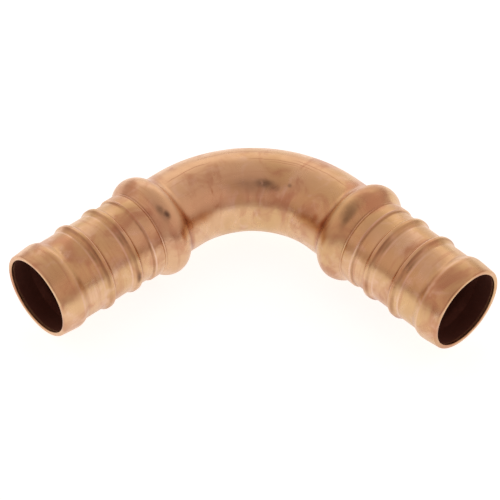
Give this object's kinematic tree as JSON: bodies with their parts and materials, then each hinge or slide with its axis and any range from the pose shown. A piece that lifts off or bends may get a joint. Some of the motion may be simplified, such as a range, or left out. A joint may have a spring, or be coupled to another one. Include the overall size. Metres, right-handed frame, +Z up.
{
  "type": "copper pex crimp elbow",
  "caption": "Right angle elbow of bent copper tube with a stop bead, rolled ribs and a tapered nose on each arm, for crimping into plastic pipe.",
  "frame": {"origin": "under the middle of the elbow's outline, at the height of the beads' lowest point", "axes": "+X out of one mouth along its arm's axis, -Y out of the other mouth, +Z up, square to both arms' axes"},
  "size_m": [0.0454, 0.0454, 0.0141],
  "materials": {
    "copper": "satin drawn copper, tumbled, with light scratches"
  },
  "bodies": {
    "root": {"elbow": "copper"}
  },
  "joints": []
}
